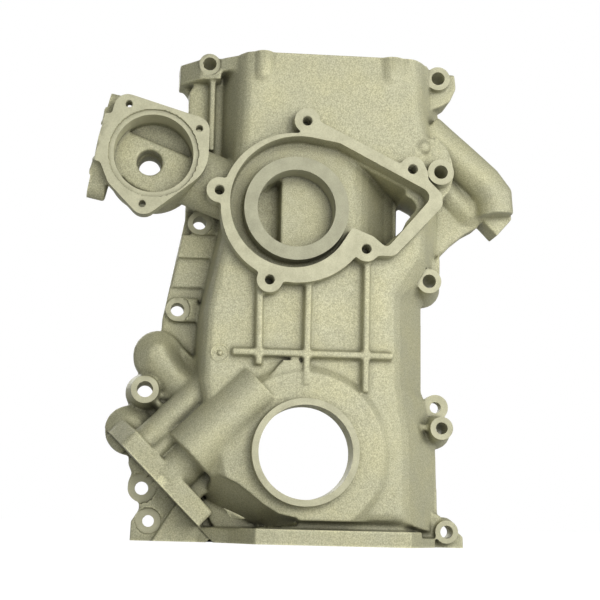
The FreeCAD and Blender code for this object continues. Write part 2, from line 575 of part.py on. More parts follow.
def left_side():
    """Lobe, ear, stepped strip and shoulder along the left edge of the cover."""
    shapes = [lobe(LOBE_LOW, LOBE_TOP, LOBE_R, LOBE_DEPTH, LOBE_TOP_R),
              dome(EAR_X, EAR_Z, EAR_R, 0, EAR_FRONT, EAR_TOP_R), slab(SHOULDER, 0, SHOULDER_T)]
    for low, high, front in STRIP_STEPS:
        shapes.append(slab(STRIP, 0, front).common(box(-TOP_Z, 0, low, high, 0, front)))
    for x, z, radius, front, _ in STRIP_BOLTS:
        shapes.append(post(x, z, radius, 0, front))
        shapes.append(box(x, x + STRIP_PAD_W, z - radius, z + radius, 0, front))
    return shapes + [rib(x0, z0, x1, z1, 0, front) for x0, z0, x1, z1, front in LEFT_WEBS]


def right_side():
    """Water way that bends down to the block, the second one, their web, and the gussets."""
    shapes = [bent_bar(OUTLET_WAY, OUTLET_R, OUTLET_DEPTH),
              slab(OUTLET_FOOT, 0, OUTLET_FOOT_T),
              lobe(SECOND_FROM, SECOND_TO, SECOND_R, SECOND_DEPTH, SECOND_TOP_R),
              slab(OUTLET_WEB, 0, OUTLET_WEB_T)]
    shapes += [slab(outline, 0, front) for outline, front in GUSSETS]
    return shapes + [rib(x0, z0, x1, z1, 0, front) for x0, z0, x1, z1, front in RIGHT_WEBS]


def head_swelling(x, low, depth, radius):
    """Swelling of the panel for one bolt of the cylinder head, round below and open above."""
    tip = at(x, low - radius, depth)
    cone = Part.makeCone(radius * HEAD_TIP_SHARE, radius, radius, tip)
    return cone.fuse(bar(at(x, low, depth), at(x, TOP_Z, depth), radius))


def panel_details():
    """Ribs, the pad between them and the swellings for the cylinder head's bolts."""
    back = PANEL_DEPTH - 1
    shapes = [rib(x0, z0, x1, z1, back, PANEL_DEPTH + RIB_HEIGHT) for x0, z0, x1, z1 in RIBS]
    shapes.append(slab(PAD, back, PANEL_DEPTH + PAD_HEIGHT))
    return shapes + [head_swelling(*place) for place in HEAD_BOLTS]


def bolt_hole(x, z, radius, front):
    """Hole of one bolt place, right through the cover."""
    if radius < M8_CLEAR_R:
        return prism(radius, at(x, z, front + CUT_PAST), FreeCAD.Vector(0, front + 2 * CUT_PAST, 0))
    return post(x, z, radius, -CUT_PAST, front + CUT_PAST)


def through_holes():
    """Bolt holes, the pump's screw holes, the seal's bore and the drive's shaft bore."""
    bolts = STRIP_BOLTS + POST_BOLTS + EAR_BOLTS
    holes = [bolt_hole(x, z, hole, front) for x, z, _, front, hole in bolts]
    holes.append(post(*from_pump([PUMP_SIDE_BOLT])[0], M8_CLEAR_R, -CUT_PAST, PUMP_FACE))
    screw_foot = PUMP_FACE - M8_TAP_DEPTH
    holes += [post(x, z, M8_TAP_R, screw_foot, PUMP_FACE + CUT_PAST) for x, z in from_pump(PUMP_SCREWS)]
    for x, _, depth, _ in HEAD_BOLTS:
        start = at(x, TOP_Z - HEAD_BOLT_TAP, depth)
        holes.append(prism(M8_TAP_R, start, FreeCAD.Vector(0, 0, HEAD_BOLT_TAP + CUT_PAST)))
    holes.append(post(0, 0, SEAL_BORE_R, 0, SEAL_FACE + CUT_PAST))
    holes.append(drive_cylinder(DRIVE_SHAFT_R, PUMP_PLATE_OUT - CUT_PAST, DRIVE_HIGH - WALL, DRIVE_OFFSET,
                                DRIVE_SHAFT_DEPTH))
    return holes


def timing_cover():
    """The whole casting: the outside first, then its hollow, then what stands in and on that."""
    side_shapes, side_holes = side_flange()
    bosses = [post(x, z, radius, 0, front) for x, z, radius, front, _ in POST_BOLTS + EAR_BOLTS]
    outside = [slab(JOINT_OUTLINE, 0, FLANGE_T), pan_rail()] + head_rail() + left_side() + right_side()
    cover = chain_case().fuse(outside + bosses + panel_details())
    cover = cover.cut([chain_space(), pan_opening()])
    cover = cover.fuse([seal_housing(), pump_flange()] + thermostat_body() + side_shapes + water_walls()
                       + oil_pump_drive())
    cover = cover.cut(pump_waterways() + thermostat_cuts() + side_holes + through_holes())
    return cover.removeSplitter()


cover = timing_cover()
os.makedirs("parts", exist_ok=True)
cover.exportStep("parts/timing_cover.step")
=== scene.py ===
import logging
import math
from dataclasses import dataclass, field
from enum import Enum

import bmesh
import bpy
import numpy as np
from bpy.types import ID, Material, Mesh, Node, NodeSocket, NodeTree, Object, bpy_prop_collection
from mathutils import Matrix, Vector


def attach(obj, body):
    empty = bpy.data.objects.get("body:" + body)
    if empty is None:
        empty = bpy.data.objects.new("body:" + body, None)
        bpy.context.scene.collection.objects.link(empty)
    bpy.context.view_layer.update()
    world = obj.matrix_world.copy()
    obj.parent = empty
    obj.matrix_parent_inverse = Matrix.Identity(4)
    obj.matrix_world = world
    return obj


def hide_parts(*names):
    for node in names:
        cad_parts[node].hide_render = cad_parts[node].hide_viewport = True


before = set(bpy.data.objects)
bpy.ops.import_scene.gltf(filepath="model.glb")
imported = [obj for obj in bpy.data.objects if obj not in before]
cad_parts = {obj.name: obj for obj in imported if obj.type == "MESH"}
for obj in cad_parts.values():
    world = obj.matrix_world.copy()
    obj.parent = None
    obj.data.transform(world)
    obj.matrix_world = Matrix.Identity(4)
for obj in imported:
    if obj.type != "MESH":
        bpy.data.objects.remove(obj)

# Timing cover: one aluminium casting with machined faces, on a pale studio floor.
# Sizes are in millimetres in the frame of the part: x to the right, depth forward
# of the joint with the block (y = -depth), z up. Blender gets them in metres.

LOG = logging.getLogger("timing_cover")
Pair = tuple[float, float]
Triple = tuple[float, float, float]

# A millimetre, the distance within which two points are one, and the longest edge that is
# dissolved in the finished skin, all in metres.
MM = 0.001
MERGE = 1e-6
SPLINTER = 2e-5
# Steps of a full turn for bosses and holes.
ROUND_STEPS = 32
# Sockets of the colour and the shader mixing nodes, which have several of each name.
MIX_SHARE, MIX_FIRST, MIX_SECOND, MIX_RESULT = 0, 6, 7, 2
SHADER_FIRST, SHADER_SECOND = 1, 2
# Radians that the wave node counts to one unit of its scale.
WAVE_RADIANS = 20
# Rays that measure how open the surface is.
OPEN_AIR_RAYS = 4


def place(x: float, depth: float, z: float) -> Vector:
    """Turn a place on the part into Blender's metres.

    Args:
        x: Millimetres to the right of the crank axis.
        depth: Millimetres forward of the joint with the block.
        z: Millimetres above the crank axis.

    Returns:
        The point in metres.
    """
    return Vector((x * MM, -depth * MM, z * MM))


class Surface(Enum):
    """How a surface of the casting was made."""

    CAST = 0
    MACHINED = 1
    TURNED = 2


@dataclass(frozen=True)
class CastFinish:
    """Sand-cast aluminium: warm grey and grainy, with painted shade in its corners and a pale edge tone that
    is partly painted highlight and partly wear.

    A painted crease shade is given as how far it looks in millimetres, the part of the openness that it
    stretches, and its brightness in the closest corner.
    """

    name: str = "cast_aluminium"
    light: Triple = (0.485, 0.468, 0.30)
    grey: Triple = (0.455, 0.444, 0.302)
    metallic: float = 0.25
    patch_size: float = 22.0
    patch_range: Pair = (0.38, 0.66)
    grain_size: float = 0.75
    grain_range: Pair = (0.36, 0.64)
    grain_tones: Pair = (0.74, 1.18)
    grain_height: float = 0.11
    grain_strength: float = 0.55
    pit_size_factor: float = 2.6
    pit_range: Pair = (0.3, 0.7)
    pit_height_factor: float = 1.6
    pit_strength: float = 0.5
    roughness: Pair = (0.50, 0.68)
    # Painted shade: corners, creases and deep cavities are darkened in the colour, at three reaches.
    painted_crease_shades: tuple[tuple[float, Pair, float], ...] = (
        (2.2, (0.50, 0.97), 0.50), (6.0, (0.35, 0.95), 0.55), (24.0, (0.12, 0.62), 0.50))
    # Painted highlight, partly wear: convex edges are lightened in the colour.
    edge_reach: float = 1.7
    edge_range: Pair = (0.5, 0.97)
    edge_highlight_and_wear_tone: float = 1.4

    def material(self) -> Material:
        """Build the node material.

        Returns:
            The material, in the part's own coordinates.
        """
        sheet = NodeSheet(self.name)
        coords = sheet.add("ShaderNodeTexCoord").outputs["Object"]
        patches = sheet.noise(coords, self.patch_size, detail=3.0)
        grains = sheet.noise(coords, self.grain_size, detail=5.0)
        pits = sheet.noise(coords, self.grain_size * self.pit_size_factor, detail=2.0)
        tone = sheet.blend(sheet.ramp(patches, self.patch_range), self.grey, self.light)
        tone = sheet.tint(tone, sheet.ramp(grains, self.grain_range), self.grain_tones)
        # Painted shade: darken the colour where the surface is closed in by nearby walls.
        for reach, openness, shade in self.painted_crease_shades:
            tone = sheet.tint(tone, sheet.ramp(sheet.open_air(reach), openness), (shade, 1.0))
        # Painted highlight and wear: lighten the colour on convex edges.
        edges = sheet.ramp(sheet.open_air(self.edge_reach, inside=True), self.edge_range)
        tone = sheet.tint(tone, edges, (self.edge_highlight_and_wear_tone, 1.0))
        sheet.link(tone, sheet.shader.inputs["Base Color"])
        sheet.link(sheet.ramp(pits, self.pit_range, self.roughness), sheet.shader.inputs["Roughness"])
        sheet.shader.inputs["Metallic"].default_value = self.metallic
        deep = sheet.bump(pits, self.pit_strength, self.grain_height * self.pit_height_factor)
        sheet.bump(grains, self.grain_strength, self.grain_height, below=deep)
        return sheet.material


@dataclass(frozen=True)
class MachinedFinish:
    """Milled or turned aluminium: smoother, with fine tool marks in rings, and painted shade in its corners.
    """

    name: str = "machined_aluminium"
    colour: Triple = (0.50, 0.487, 0.335)
    worn: Triple = (0.45, 0.437, 0.30)
    metallic: float = 0.15
    mark_centre: Triple = (0.012, 0.0, -0.150)
    mark_spacing: float = 1.1
    mark_height: float = 0.012
    mark_strength: float = 0.5
    mark_wobble: float = 1.5
    mark_detail: float = 2.0
    stain_size: float = 9.0
    stain_range: Pair = (0.35, 0.62)
    speck_size: float = 0.7
    speck_tones: Pair = (0.88, 1.06)
    speck_height_factor: float = 2.0
    speck_strength: float = 0.4
    middle_range: Pair = (0.3, 0.7)
    roughness: Pair = (0.66, 0.54)
    # Painted shade: corners of the machined faces are darkened in the colour.
    crease_reach: float = 2.5
    crease_range: Pair = (0.4, 0.95)
    painted_crease_shade_tone: float = 0.45

    def material(self) -> Material:
        """Build the node material.

        Returns:
            The material, in the part's own coordinates.
        """
        sheet = NodeSheet(self.name)
        coords = sheet.add("ShaderNodeTexCoord").outputs["Object"]
        swirl = sheet.add("ShaderNodeMapping", Location=self.mark_centre)
        sheet.link(coords, swirl.inputs["Vector"])
        waves = 2 * math.pi / (WAVE_RADIANS * self.mark_spacing * MM)
        rings = sheet.add("ShaderNodeTexWave", Scale=waves, Distortion=self.mark_wobble,
                          Detail=self.mark_detail)
        rings.wave_type = "RINGS"
        rings.rings_direction = "Y"
        sheet.link(swirl.outputs["Vector"], rings.inputs["Vector"])
        stains = sheet.noise(coords, self.stain_size, detail=4.0)
        specks = sheet.noise(coords, self.speck_size, detail=3.0)
        tone = sheet.blend(sheet.ramp(stains, self.stain_range), self.worn, self.colour)
        tone = sheet.tint(tone, sheet.ramp(specks, self.middle_range), self.speck_tones)
        # Painted shade: darken the colour where the surface is closed in by nearby walls.
        corners = sheet.ramp(sheet.open_air(self.crease_reach), self.crease_range)
        tone = sheet.tint(tone, corners, (self.painted_crease_shade_tone, 1.0))
        sheet.link(tone, sheet.shader.inputs["Base Color"])
        sheet.link(sheet.ramp(stains, self.middle_range, self.roughness), sheet.shader.inputs["Roughness"])
        sheet.shader.inputs["Metallic"].default_value = self.metallic
        marks = sheet.bump(rings.outputs["Fac"], self.mark_strength, self.mark_height)
        sheet.bump(specks, self.speck_strength, self.mark_height * self.speck_height_factor, below=marks)
        return sheet.material


@dataclass(frozen=True)
class FloorFinish:
    """Plain pale studio floor, which the picture shows almost white."""

    name: str = "studio_floor"
    colour: Triple = (0.62, 0.62, 0.62)
    roughness: float = 0.8
    glow: float = 1.16
    share: float = 0.85

    def material(self) -> Material:
        """Build the node material: a pale floor with a glow that only the camera sees.

        Returns:
            The floor's material.
        """
        sheet = NodeSheet(self.name)
        sheet.shader.inputs["Base Color"].default_value = (*self.colour, 1.0)
        sheet.shader.inputs["Roughness"].default_value = self.roughness
        glow = sheet.add("ShaderNodeEmission", Strength=self.glow)
        seen = sheet.add("ShaderNodeMath")
        seen.operation = "MULTIPLY"
        seen.inputs[1].default_value = self.share
        sheet.link(sheet.add("ShaderNodeLightPath").outputs["Is Camera Ray"], seen.inputs[0])
        both = sheet.add("ShaderNodeMixShader")
        sheet.link(seen.outputs["Value"], both.inputs["Fac"])
        sheet.link(sheet.shader.outputs["BSDF"], both.inputs[SHADER_FIRST])
        sheet.link(glow.outputs["Emission"], both.inputs[SHADER_SECOND])
        sheet.link(both.outputs["Shader"], sheet.tree.nodes["Material Output"].inputs["Surface"])
        return sheet.material


class NodeSheet:
    """A node material and the few kinds of node that the finishes are made of."""

    def __init__(self, name: str) -> None:
        """Start a material with one shader.

        Args:
            name: Name of the material.
        """
        self.material = bpy.data.materials.new(name)
        self.material.use_nodes = True
        self.tree = self.material.node_tree
        self.shader = self.tree.nodes["Principled BSDF"]

    def add(self, kind: str, **inputs: float | Triple) -> Node:
        """Add a node of one kind.

        Args:
            kind: Kind of node.
            inputs: Values of its inputs.

        Returns:
            The node.
        """
        node = self.tree.nodes.new(kind)
        for name, value in inputs.items():
            node.inputs[name].default_value = value
        return node

    def link(self, source: NodeSocket, target: NodeSocket) -> None:
        """Join two sockets."""
        self.tree.links.new(source, target)

    def noise(self, coords: NodeSocket, size: float, detail: float) -> NodeSocket:
        """Add a noise whose lumps are about one size.

        Args:
            coords: Where the pattern lies.
            size: Size of a lump in millimetres.
            detail: How many finer layers it has.

        Returns:
            The noise's value.
        """
        node = self.add("ShaderNodeTexNoise", Scale=1.0 / (size * MM), Detail=detail)
        self.link(coords, node.inputs["Vector"])
        return node.outputs["Fac"]

    def ramp(self, value: NodeSocket, source: Pair, target: Pair = (0.0, 1.0)) -> NodeSocket:
        """Stretch part of a value's range.

        Args:
            value: The value.
            source: Where the range starts and ends.
            target: What its start and end become.

        Returns:
            The stretched and clamped value.
        """
        node = self.add("ShaderNodeMapRange")
        for name, number in zip(("From Min", "From Max", "To Min", "To Max"), (*source, *target)):
            node.inputs[name].default_value = number
        self.link(value, node.inputs["Value"])
        return node.outputs["Result"]

    def blend(self, share: NodeSocket, first: Triple, second: Triple) -> NodeSocket:
        """Mix two fixed colours.

        Args:
            share: How much of the second colour shows.
            first: First colour.
            second: Second colour.

        Returns:
            The mixed colour.
        """
        node = self.add("ShaderNodeMix")
        node.data_type = "RGBA"
        node.inputs[MIX_SECOND].default_value = (*second, 1.0)
        node.inputs[MIX_FIRST].default_value = (*first, 1.0)
        self.link(share, node.inputs[MIX_SHARE])
        return node.outputs[MIX_RESULT]

    def tint(self, colour: NodeSocket, value: NodeSocket, tones: Pair) -> NodeSocket:
        """Lighten and darken a colour by a value.

        Args:
            colour: Colour from a node.
            value: From 0 to 1.
            tones: Brightness where the value is 0 and where it is 1.

        Returns:
            The changed colour.
        """
        node = self.add("ShaderNodeHueSaturation")
        self.link(self.ramp(value, (0.0, 1.0), tones), node.inputs["Value"])
        self.link(colour, node.inputs["Color"])
        return node.outputs["Color"]

    def open_air(self, reach: float, inside: bool = False) -> NodeSocket:
        """Add a measure of how open the surface is, from 0 in a corner to 1 on a flat.

        Args:
            reach: How far it looks, in millimetres.
            inside: Look into the wall, which finds edges instead of corners.

        Returns:
            The measure's value.
        """
        node = self.add("ShaderNodeAmbientOcclusion", Distance=reach * MM)
        node.samples = OPEN_AIR_RAYS
        node.inside = inside
        node.only_local = True
        return node.outputs["AO"]

    def bump(self, height: NodeSocket, strength: float, size: float,
             below: Node | None = None) -> Node:
        """Add a bump and give it to the shader.

        Args:
            height: Height pattern.
            strength: From 0 to 1.
            size: Height in millimetres.
            below: A coarser bump that this one lies on.

        Returns:
            The bump node.
        """
        node = self.add("ShaderNodeBump", Strength=strength, Distance=size * MM)
        self.link(height, node.inputs["Height"])
        self.link(node.outputs["Normal"], self.shader.inputs["Normal"])
        if below:
            self.link(below.outputs["Normal"], node.inputs["Normal"])
        return node


@dataclass(frozen=True)
class Flat:
    """A machined flat: a point on it, its outward direction, and the box that it lies in."""

    point: Triple
    outward: Triple
    low: Triple
    high: Triple

    def height(self, points: np.ndarray) -> np.ndarray:
        """How far each point stands above the flat, in millimetres."""
        return (points - np.array(self.point)) @ np.array(self.outward)

    def covers(self, points: np.ndarray) -> np.ndarray:
        """Which points lie in the flat's box."""
        return np.all((points >= np.array(self.low)) & (points <= np.array(self.high)), axis=1)


@dataclass(frozen=True)
class Bore:
    """A turned or drilled hole along the depth, with the round face about its mouth.

    The face and the floor are depths, and the rim is the radius of the round face.
    """

    x: float
    z: float
    radius: float
    face: float
    floor: float
    rim: float

    @property
    def through(self) -> bool:
        """Whether the hole passes through the joint plane."""
        return self.floor == 0.0

    def radii(self, points: np.ndarray) -> np.ndarray:
        """Distance of each point from the bore's axis, in millimetres."""
        return np.hypot(points[:, 0] - self.x, points[:, 2] - self.z)


@dataclass(frozen=True)
class Slope:
    """An area seen from the front whose depth follows x along straight runs."""

    area: list[Pair]
    run: list[Pair]

    def depth(self, x: float) -> float:
        """Depth of the slope at one place, in millimetres."""
        return float(np.interp(x, [step[0] for step in self.run], [step[1] for step in self.run]))

    def body(self, lift: float, level: float) -> Mesh:
        """Closed body between the slope and a level.

        Args:
            lift: Millimetres that the sloped side lies in front of the slope.
            level: Depth of the flat side.

        Returns:
            The body's mesh in metres.
        """
        shape = bmesh.new()
        shape.faces.new([shape.verts.new(place(x, level, z)) for x, z in self.area])
        for x, _ in self.run:
            whole = list(shape.verts) + list(shape.edges) + list(shape.faces)
            bmesh.ops.bisect_plane(shape, geom=whole, plane_co=(x * MM, 0, 0), plane_no=(1, 0, 0))
        raised = bmesh.ops.extrude_face_region(shape, geom=list(shape.faces), use_keep_orig=True)
        for corner in raised["geom"]:
            if isinstance(corner, bmesh.types.BMVert):
                corner.co.y = -(self.depth(corner.co.x / MM) + lift) * MM
        bmesh.ops.triangulate(shape, faces=shape.faces)
        return close_up(shape, "slope")


@dataclass(frozen=True)
class Flank:
    """A slanted side of the casting, from an edge in front down to a foot behind it."""

    edge: list[Triple]
    foot: list[Triple]
    thickness: float = 6.0
    front: float = 72.0

    def strip(self, outlines: list[list[Triple]]) -> Mesh:
        """Join outlines of one length, one after another, to a closed body.

        Args:
            outlines: Outlines across the flank, each as x, depth and z.

        Returns:
            The body's mesh in metres.
        """
        shape = bmesh.new()
        rings = [[shape.verts.new(place(*spot)) for spot in outline] for outline in outlines]
        for ring, after in zip(rings, rings[1:]):
            for step in range(len(ring)):
                far = (step + 1) % len(ring)
                shape.faces.new((ring[step], ring[far], after[far], after[step]))
        shape.faces.new(rings[0])
        shape.faces.new(rings[-1])
        bmesh.ops.triangulate(shape, faces=shape.faces)
        return close_up(shape, "flank")

    def room(self) -> Mesh:
        """Body in front of the flank, which is cut away."""
        return self.strip([[edge, foot, (foot[0], self.front, foot[2]), (edge[0], self.front, edge[2])]
                           for edge, foot in zip(self.edge, self.foot)])

    def wall(self) -> Mesh:
        """Body behind the flank, which closes the casting there.

        Returns:
            The body's mesh in metres.
        """
        outlines = []
        for edge, foot in zip(self.edge, self.foot):
            away = Vector((edge[0] - foot[0], edge[2] - foot[2])).normalized() * self.thickness
            outlines.append([(x + dx, depth, z + dz) for (x, depth, z), dx, dz in
                             ((edge, 0, 0), (foot, 0, 0), (foot, away.x, away.y), (edge, away.x, away.y))])
        return self.strip(outlines)


@dataclass(frozen=True)
class Knob:
    """A small round form that stands on the casting, given by its side as radius and depth."""

    x: float
    z: float
    side: tuple[Pair, ...]

    def add_to(self, shape: bmesh.types.BMesh) -> None:
        """Turn the side into a form that is closed at both ends.

        Args:
            shape: Mesh that gets the form.
        """
        own = bmesh.new()
        profile = ((0, self.side[0][1]), *self.side, (0, self.side[-1][1]))
        turn(own, profile, self.x, 0.0, self.z, ROUND_STEPS)
        shape.from_mesh(close_up(own, "knob"))


@dataclass(frozen=True)
class Dent:
    """A soft hollow in the casting's front, long in one direction and narrow across it."""

    x: float
    z: float
    turned: float
    length: float
    width: float
    drop: float
    behind: float
    fade: float = 6.0
    fall: float = 2.0

    def sink(self, points: np.ndarray) -> None:
        """Push the points near the hollow back, in place.

        Args:
            points: Points of the skin, in millimetres as (x, depth, z).
        """
        angle = math.radians(self.turned)
        across, up = points[:, 0] - self.x, points[:, 2] - self.z
        along = (across * math.cos(angle) + up * math.sin(angle)) / self.length
        aside = (up * math.cos(angle) - across * math.sin(angle)) / self.width
        share = np.exp(-self.fall * (along ** 2 + aside ** 2))
        share *= np.clip((points[:, 1] - self.behind) / self.fade, 0, 1)
        points[:, 1] -= self.drop * share


@dataclass(frozen=True)
class SoftSpot:
    """A ball-shaped part of the casting whose edges the mould rounds more than elsewhere."""

    x: float
    depth: float
    z: float
    reach: float
    gain: float = 1.6

    def weight(self, points: np.ndarray) -> np.ndarray:
        """How much each point is rounded, from 0 outside to 1 well inside."""
        away = np.linalg.norm(points - np.array((self.x, self.depth, self.z)), axis=1)
        return np.clip(self.gain * (1 - away / self.reach), 0, 1)


# How the volute's floor falls to the delivery way: x and depth.
VOLUTE_FALL = [(27, 46.5), (32, 45.4), (37, 42.6), (42, 37.6), (47, 30.4), (52, 22.4), (57, 15.6)]
# Outward directions of the hose flange's face and of the oil pump plate.
HOSE_OUTWARD = (-0.97992, 0, 0.19937)
PLATE_OUTWARD = (-0.70711, 0, -0.70711)
# Screws of the pump and of the thermostat cover, as x and z from the middle of each.
PUMP_SCREWS = [(5.7, 58.1), (-50.6, 9.5), (-16.8, -48.1), (45.7, -25.6), (75.6, 28.7)]
CAP_SCREWS = [(-16.9, 31.9), (29.1, 17.4), (-6.3, -33.9)]
# Where the casting is rounded most: x, depth, z and reach of each spot.
SOFT_SPOTS = {
    "lobe": [(-94.5, 26, 64.5, 34), (-84, 26, 60, 30), (-78, 26, 46, 24)],
    "flank": [(-56, 40, -16, 14), (-50, 40, -22, 14), (-40, 40, -30, 14), (-30, 40, -38, 14),
              (-18, 40, -44, 12), (-14, 42, -44, 10), (-60, 30, -38, 14), (-46, 30, -50, 14)],
    "lower_left": [(-114, 16, 20, 14), (-120, 34, 8, 14), (-92, 30, 22, 16)],
    "drive": [(-40, 45, 22, 18), (-56, 45, 12, 24), (-72, 42, -4, 16)],
    "top_edge": [(-30.7, 52, 243, 9), (56, 52, 243, 12), (-44, 40, 255, 12), (-45, 40, 235, 12),
                 (-46, 40, 215, 12), (76, 44, 255, 15), (78, 44, 236, 15), (80, 44, 220, 10)],
    "right_way": [(115, 20, 172, 15), (125, 24, 190, 19), (132, 22, 176, 17), (96, 24, 218, 18),
                  (110, 24, 203, 14), (88, 12, 140, 16), (96, 12, 150, 12), (92, 8, 200, 8)],
    "seal_housing": [(52, 52, 14, 14), (50, 52, -16, 14), (66, 42, -40, 12)],
}


@dataclass(frozen=True)
class Nearness:
    """How near a point or face lies to a machined surface to belong to it, in millimetres.

    Two differ: wall_share is a part of the bore's radius, and facing is the least cosine
    between a face and the surface.
    """

    on_face: float = 0.03
    unmoved: float = 0.01
    past_stock: float = 1.0
    blank_rim: float = 0.1
    cut_rim: float = 0.7
    dress_rim: float = 0.6
    wall_most: float = 1.3
    wall_share: float = 0.35
    least_radius: float = 1e-6
    below_floor: float = 0.5
    above_face: float = 0.05
    dress_flat: float = 0.06
    dress_face: float = 0.08
    dress_wall: float = 0.25
    facing: float = 0.9


@dataclass
class CastCover:
    """The casting's skin: the solid's own shape with cast fillets and crisp machined faces."""

    node: str = "timing_cover"
    voxel: float = 0.9
    stock: float = 2.4
    rounding: float = 0.5
    rounds: int = 7
    more_rounds: int = 70
    soft_levels: int = 5
    triangles: int = 186000
    sharp_angle: float = 48.0
    top: float = 266.0
    bottom: float = -58.5
    pump: Pair = (-8.1, 158.3)
    thermostat: Pair = (-101.9, 190.4)
    flange_face: float = 62.0
    near: Nearness = Nearness()
    ramp: Slope = Slope(
        [(27, 196.4), (66, 177.2), (66, 151.5), (51.2, 137.4), (43.5, 143.4), (30, 148.6), (27, 158)],
        VOLUTE_FALL + [(66, 9.0)])
    tray: Slope = Slope(
        [(20, 201.0), (64, 181.5), (64, 146.0), (51.0, 133.0), (42.0, 138.6), (28, 143.6), (20, 152)],
        [(20, 46.5)] + VOLUTE_FALL + [(63, 11.0)])
    tray_top: float = 45.9
    tray_wall: float = 4.5
    floor_slot: Slope = Slope(
        [(-124, 176.5), (-118, 170.2), (-110, 166.4), (-101, 165.0), (-96, 165.4),
         (-103, 167.6), (-112, 170.8), (-119, 175.0), (-124, 180.5)], [(-130, 38.0), (-80, 38.0)])
    cut_top: float = 56.0
    web: Slope = Slope(
        [(-62, -30), (-50, -33.6), (-41, -37.6), (-32, -42.2), (-23, -47.2), (-21, -52), (-50, -52),
         (-56, -46)], [(-70, 13.6), (-15, 13.6)])
    web_back: float = 2.6
    flank: Flank = Flank(
        [(-58.0, 48.5, -14.1), (-50.2, 48.9, -16.5), (-42.5, 49.0, -20.1), (-34.6, 49.0, -25.6),
         (-25.5, 49.0, -33.0), (-15.1, 49.0, -39.1), (-3.5, 49.0, -41.3)],
        [(-60.4, 14, -30.1), (-53.0, 14, -33.9), (-45.0, 14, -37.7), (-34.9, 14, -42.7),
         (-24.9, 16, -47.7), (-13.6, 22, -47.4), (-0.8, 26, -45.8)])
    valley: Dent = Dent(-78.0, 62.5, -54.0, 17.0, 7.5, 11.0, 9.0)
    drill_over: float = 5.0
    flats: list[Flat] = field(default_factory=list)
    bores: list[Bore] = field(default_factory=list)
    knobs: list[Knob] = field(default_factory=list)
    pump_holes: list[Bore] = field(default_factory=list)
    cap_holes: list[Bore] = field(default_factory=list)

    def __post_init__(self) -> None:
        """List the machined faces, the holes and the small round forms."""
        pump_x, pump_z = self.pump
        stat_x, stat_z = self.thermostat
        face, slack = self.flange_face, 0.1
        self.flats = [
            Flat((0, face, 0), (0, 1, 0), (-160, face - slack, 85), (100, 90, 260)),
            Flat((0, 0, 0), (0, -1, 0), (-200, -20, -100), (200, slack, 300)),
            Flat((0, 0, self.top), (0, 0, 1), (-57.5, -20, self.top - slack), (81, 90, 300)),
            Flat((0, 0, self.bottom), (0, 0, -1), (-200, -20, -100), (200, 90, self.bottom + slack)),
            Flat((-137.7, 42, 199.5), HOSE_OUTWARD, (-170, 30, 160), (-128, 52, 240)),
            Flat((-56.57, 0, -56.57), PLATE_OUTWARD, (-140, slack, -60), (-40, 41, 20)),
        ]
        self.pump_holes = [Bore(pump_x + x, pump_z + z, 3.4, face, face - 14.0, 8.4) for x, z in PUMP_SCREWS]
        self.cap_holes = [Bore(stat_x + x, stat_z + z, 2.5, face, face - 20.0, 6.0) for x, z in CAP_SCREWS]
        self.bores = [
            Bore(0.0, 0.0, 30.0, 66.0, 45.0, 34.2),
            Bore(pump_x, pump_z, 25.5, 60.0, 42.0, 34.2),
            Bore(stat_x, stat_z, 25.8, 60.5, 44.0, 28.3),
            Bore(pump_x + 95.1, pump_z + 28.6, 4.6, 58.0, 0.0, 8.6),
            Bore(-66.0, 262.4, 4.6, 32.0, 0.0, 7.0),
            Bore(91.0, 260.5, 4.6, 30.0, 0.0, 8.2),
            Bore(85.1, 118.5, 4.6, 33.0, 0.0, 8.2),
            Bore(94.1, 20.0, 4.0, 33.0, 0.0, 7.6),
            Bore(-102.5, 40.2, 5.3, 30.0, 0.0, 9.2),
            Bore(101.2, -48.0, 4.3, 18.0, 0.0, 7.6),
            Bore(95.0, 35.8, 3.8, 9.0, 0.0, 8.8),
            Bore(-102.7, -23.9, 4.5, 9.0, 0.0, 9.2),
            Bore(-97.6, -45.5, 3.9, 9.0, 0.0, 8.0),
            Bore(-69.3, 155.7, 4.6, 17.0, 0.0, 8.0),
            Bore(-82.5, 96.3, 4.6, 14.0, 0.0, 8.0),
        ] + self.pump_holes + self.cap_holes
        self.knobs = [
            Knob(77.0, 206.0, ((5.0, 42), (4.9, 48.2), (4.3, 49.8), (3.2, 50.9), (1.8, 51.5), (0, 51.7))),
            Knob(88.5, 255.5, ((12.5, 4), (10.5, 14), (8.4, 22.0))),
            Knob(91.0, 260.5, ((8.2, 4), (8.2, 30))),
            Knob(85.1, 118.5, ((14.0, 2), (10.5, 14), (8.6, 24), (8.2, 33))),
            Knob(94.1, 20.0, ((13.0, 2), (9.8, 12), (8.0, 24), (7.6, 33))),
            Knob(101.2, -48.0, ((10.4, 2), (8.6, 9), (7.6, 18))),
            Knob(-102.5, 40.2, ((13.5, 2), (11.2, 14), (9.6, 23), (9.2, 30))),
            Knob(-66.0, 262.4, ((6.9, 14), (6.9, 32))),
            Knob(87.0, 186.9, ((9.2, 40), (8.6, 58))),
            Knob(-90.9, 34.5, ((4.5, 2.2), (4.0, 11))),
            Knob(-88.0, 35.6, ((4.4, 2.9), (3.9, 19))),
            Knob(-22.0, -48.6, ((4.8, 5.1), (4.6, 14.5))),
            Knob(-14.0, -48.7, ((4.7, 6.3), (4.5, 18.5))),
            Knob(-6.2, -48.0, ((4.9, 7.2), (4.7, 21.5))),
            Knob(1.3, -47.4, ((4.8, 8.4), (4.6, 23.5))),
        ]

    def build(self, materials: list[Material]) -> Object:
        """Make the skin and let it stand for the solid.

        Args:
            materials: The cast, the machined and the turned finish, in that order.

        Returns:
            The finished piece.
        """
        skin = self.soften(self.blank())
        write_points(skin, self.machine(read_points(skin)))
        skin = self.thin(skin)
        write_points(skin, self.machine(read_points(skin)))
        self.tidy(skin)
        piece = add_piece("cover_casting", skin, materials)
        self.dress(piece.data)
        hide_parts(self.node)
        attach(piece, "root")
        return piece

